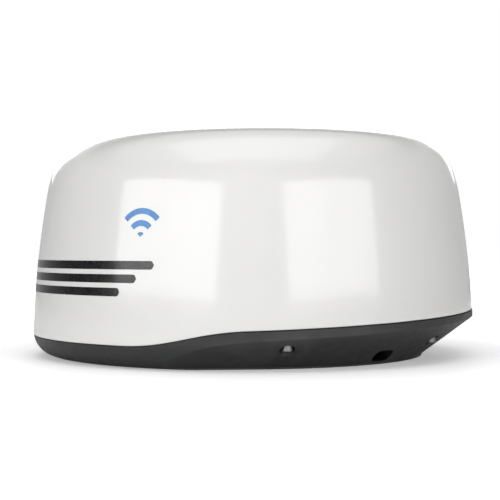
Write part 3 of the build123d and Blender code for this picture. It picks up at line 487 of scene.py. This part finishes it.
def circuit(name="circuit_green"):
    """Solder mask over copper tracks, with tinned pads and vias."""
    s = Surface(name, roughness=0.32, coat=0.2)
    tracks = s.tree.nodes.new("ShaderNodeTexBrick")
    tracks.inputs["Scale"].default_value = 60
    tracks.inputs["Mortar Size"].default_value = 0.03
    tracks.inputs["Brick Width"].default_value = 0.9
    tracks.inputs["Row Height"].default_value = 0.18
    s.link(s.coordinates, tracks.inputs["Vector"])
    mask = s.mix(tracks.outputs["Fac"], (0.012, 0.085, 0.040), (0.030, 0.150, 0.072))
    mask = s.mix(s.ramp(s.noise(18, 4), 0.3, 0.75, 0.0, 0.35), mask, (0.010, 0.060, 0.034))
    via = s.ramp(s.cells(230), 0.16, 0.12)
    s.colour(s.mix(via, mask, (0.66, 0.62, 0.52)))
    s.rough(s.ramp(s.noise(300, 3), 0.3, 0.7, 0.26, 0.40))
    s.bump(tracks.outputs["Fac"], 0.2, 0.0001)
    return s.material


def ink(name, colour):
    s = Surface(name, roughness=0.3, coat=0.3)
    s.colour(s.mix(s.ramp(s.noise(60, 5), 0.3, 0.75), colour, tuple(c * 1.25 + 0.003 for c in colour)))
    s.rough(s.ramp(s.noise(200, 4), 0.3, 0.7, 0.22, 0.34))
    s.bump(s.noise(500, 3), 0.05, 0.0001)
    return s.material


materials = {
    "gelcoat_white": gelcoat(),
    "housing_grey": housing_plastic(),
    "stainless": metal("stainless", (0.66, 0.66, 0.67), (0.48, 0.48, 0.49), 0.26, (1, 1, 8)),
    # By node: the screws seen from outside are duller than the other stainless pieces
    "dome_screws": metal("passivated_steel", (0.34, 0.34, 0.35), (0.20, 0.20, 0.21), 0.38, (1, 1, 8)),
    "brass": metal("brass", (0.76, 0.56, 0.26), (0.55, 0.38, 0.16), 0.28, (1, 1, 6)),
    "seal_rubber": rubber("seal_rubber", (0.012, 0.012, 0.013)),
    "aluminium": metal("aluminium", (0.74, 0.75, 0.76), (0.60, 0.61, 0.62), 0.30, (1, 14, 1)),
    "cast_aluminium": metal("cast_aluminium", (0.62, 0.63, 0.64), (0.46, 0.47, 0.48), 0.46,
                            grain=520, bump=0.22),
    "bearing_steel": metal("bearing_steel", (0.62, 0.63, 0.65), (0.50, 0.51, 0.53), 0.16, (1, 1, 10)),
    "belt_rubber": rubber("belt_rubber", (0.014, 0.014, 0.015), ribs=160),
    "motor_black": metal("motor_black", (0.045, 0.045, 0.048), (0.020, 0.020, 0.022), 0.42,
                         grain=400, bump=0.1, metallic=0.3),
    "circuit_green": circuit(),
    "copper": metal("copper", (0.78, 0.45, 0.26), (0.56, 0.28, 0.14), 0.30),
    "black_plastic": moulded("black_plastic", (0.014, 0.014, 0.015)),
    "magnet": metal("magnet", (0.34, 0.34, 0.35), (0.22, 0.22, 0.23), 0.34, grain=600, bump=0.12),
    "tinned_steel": metal("tinned_steel", (0.70, 0.70, 0.68), (0.52, 0.52, 0.50), 0.24, (8, 1, 1)),
    "cable_jacket": rubber("cable_jacket", (0.018, 0.018, 0.020)),
}
ink_black = ink("marking_black", (0.006, 0.006, 0.007))
ink_blue = ink("marking_blue", (0.020, 0.205, 0.520))

for part in frame["record"]["subparts"]:
    for place in nodes[part["node"]].material_slots:
        place.material = materials.get(part["node"]) or materials[part["material_slot"]]


def dress(piece, material, body):
    """Material, body and slot of a new piece."""
    piece.data.materials.append(material)
    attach(piece, body)


cover_pieces = [radome_skin()] + radome_fixings()
for piece in cover_pieces:
    dress(piece, materials["gelcoat_white"], "cover")
    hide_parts("radome_cover")

for number, (stripe_z, half_length) in enumerate(STRIPES, 1):
    band = stripe("side_stripe_%d" % number, stripe_z, STRIPE_HEIGHT, half_length)
    dress(band, ink_black, "cover")

for number, (inner_r, outer_r) in enumerate(WAVE_RADII, 1):
    arc = wave_arc("wave_symbol_%d" % number, inner_r, outer_r)
    dress(arc, ink_blue, "cover")


# Stage, light and camera -----------------------------------------------------------------------

def plain_floor():
    """A white sweep: plain where the shadow falls, and lit up towards its edge."""
    half = 6.0
    corners = [(-half, -half, 0), (half, -half, 0), (half, half, 0), (-half, half, 0)]
    floor = make_object("studio_floor", corners, [(0, 1, 2, 3)], smooth=False)
    s = Surface("studio_floor", roughness=0.6, specular=0.2)
    s.colour(s.mix(s.ramp(s.noise(3, 3), 0.3, 0.7), (0.91, 0.91, 0.91), (0.93, 0.93, 0.93)))
    s.shader.inputs["Emission Color"].default_value = (1, 1, 1, 1)
    reach = s.tree.nodes.new("ShaderNodeVectorMath")
    reach.operation = "LENGTH"
    s.link(s.coordinates, reach.inputs[0])
    seen = s.tree.nodes.new("ShaderNodeMath")
    seen.operation = "MULTIPLY"
    s.link(s.ramp(reach.outputs["Value"], 0.3, 0.9, 0.30, 1.0), seen.inputs[0])
    s.link(s.tree.nodes.new("ShaderNodeLightPath").outputs["Is Camera Ray"], seen.inputs[1])
    s.link(seen.outputs[0], s.shader.inputs["Emission Strength"])
    floor.data.materials.append(s.material)


def soft_box(name, bearing, distance, height, width, tall, power, aim_z=0.13):
    """A rectangular studio light, at a bearing from the bow."""
    light = bpy.data.lights.new(name, "AREA")
    light.shape = "RECTANGLE"
    light.size = width
    light.size_y = tall
    light.energy = power
    lamp = bpy.data.objects.new(name, light)
    turn = math.radians(bearing)
    lamp.location = (distance * math.sin(turn), -distance * math.cos(turn), height)
    aim = Vector((0, 0, aim_z)) - lamp.location
    lamp.rotation_euler = aim.to_track_quat("-Z", "Y").to_euler()
    bpy.context.scene.collection.objects.link(lamp)


plain_floor()
soft_box("left_box", VIEW_BEARING - 44, 2.6, 0.78, 2.7, 0.98, 25)
soft_box("right_box", VIEW_BEARING + 40, 2.6, 0.78, 2.3, 0.98, 19)
soft_box("top_box", VIEW_BEARING, 0.5, 2.4, 2.4, 2.2, 18)
soft_box("back_box", VIEW_BEARING + 180, 2.6, 1.0, 3.2, 0.9, 16)


def surround():
    """Even white to the camera, and a room that is darker to the sides for everything else."""
    world = bpy.data.worlds.new("studio")
    world.use_nodes = True
    tree = world.node_tree
    turn = math.radians(VIEW_BEARING)
    sideways = tree.nodes.new("ShaderNodeVectorMath")
    sideways.operation = "DOT_PRODUCT"
    sideways.inputs[1].default_value = (math.cos(turn), math.sin(turn), 0.0)
    tree.links.new(tree.nodes.new("ShaderNodeTexCoord").outputs["Generated"], sideways.inputs[0])
    size = tree.nodes.new("ShaderNodeMath")
    size.operation = "ABSOLUTE"
    tree.links.new(sideways.outputs["Value"], size.inputs[0])
    room = tree.nodes.new("ShaderNodeMapRange")
    room.inputs["From Min"].default_value = 0.45
    room.inputs["To Min"].default_value = 0.45
    room.inputs["To Max"].default_value = 0.05
    tree.links.new(size.outputs[0], room.inputs["Value"])
    height = tree.nodes.new("ShaderNodeSeparateXYZ")
    tree.links.new(tree.nodes.new("ShaderNodeTexCoord").outputs["Generated"], height.inputs[0])
    gap = tree.nodes.new("ShaderNodeMath")
    gap.operation = "COMPARE"
    gap.inputs[1].default_value = 0.60
    gap.inputs[2].default_value = 0.09
    tree.links.new(height.outputs["Z"], gap.inputs[0])
    dimmed = tree.nodes.new("ShaderNodeMath")
    dimmed.operation = "MULTIPLY_ADD"
    dimmed.inputs[1].default_value = -0.5
    tree.links.new(gap.outputs[0], dimmed.inputs[0])
    tree.links.new(room.outputs["Result"], dimmed.inputs[2])
    level = tree.nodes.new("ShaderNodeMath")
    level.operation = "MAXIMUM"
    tree.links.new(dimmed.outputs[0], level.inputs[0])
    tree.links.new(tree.nodes.new("ShaderNodeLightPath").outputs["Is Camera Ray"], level.inputs[1])
    tree.links.new(level.outputs[0], tree.nodes["Background"].inputs["Strength"])
    tree.nodes["Background"].inputs["Color"].default_value = (1, 1, 1, 1)
    return world


world = surround()
bpy.context.scene.world = world
bpy.context.scene.view_settings.view_transform = "Standard"

camera_data = bpy.data.cameras.new("camera")
camera_data.lens = VIEW_LENS
camera_data.sensor_width = 36.0
camera_data.shift_x = VIEW_SHIFT[0]
camera_data.shift_y = VIEW_SHIFT[1]
camera_data.clip_end = 50.0
camera = bpy.data.objects.new("camera", camera_data)
view_turn = math.radians(VIEW_BEARING)
camera.location = (
    VIEW_DISTANCE * math.sin(view_turn), -VIEW_DISTANCE * math.cos(view_turn), VIEW_HEIGHT)
camera.rotation_euler = (math.pi / 2, 0.0, view_turn)
bpy.context.scene.collection.objects.link(camera)
bpy.context.scene.camera = camera
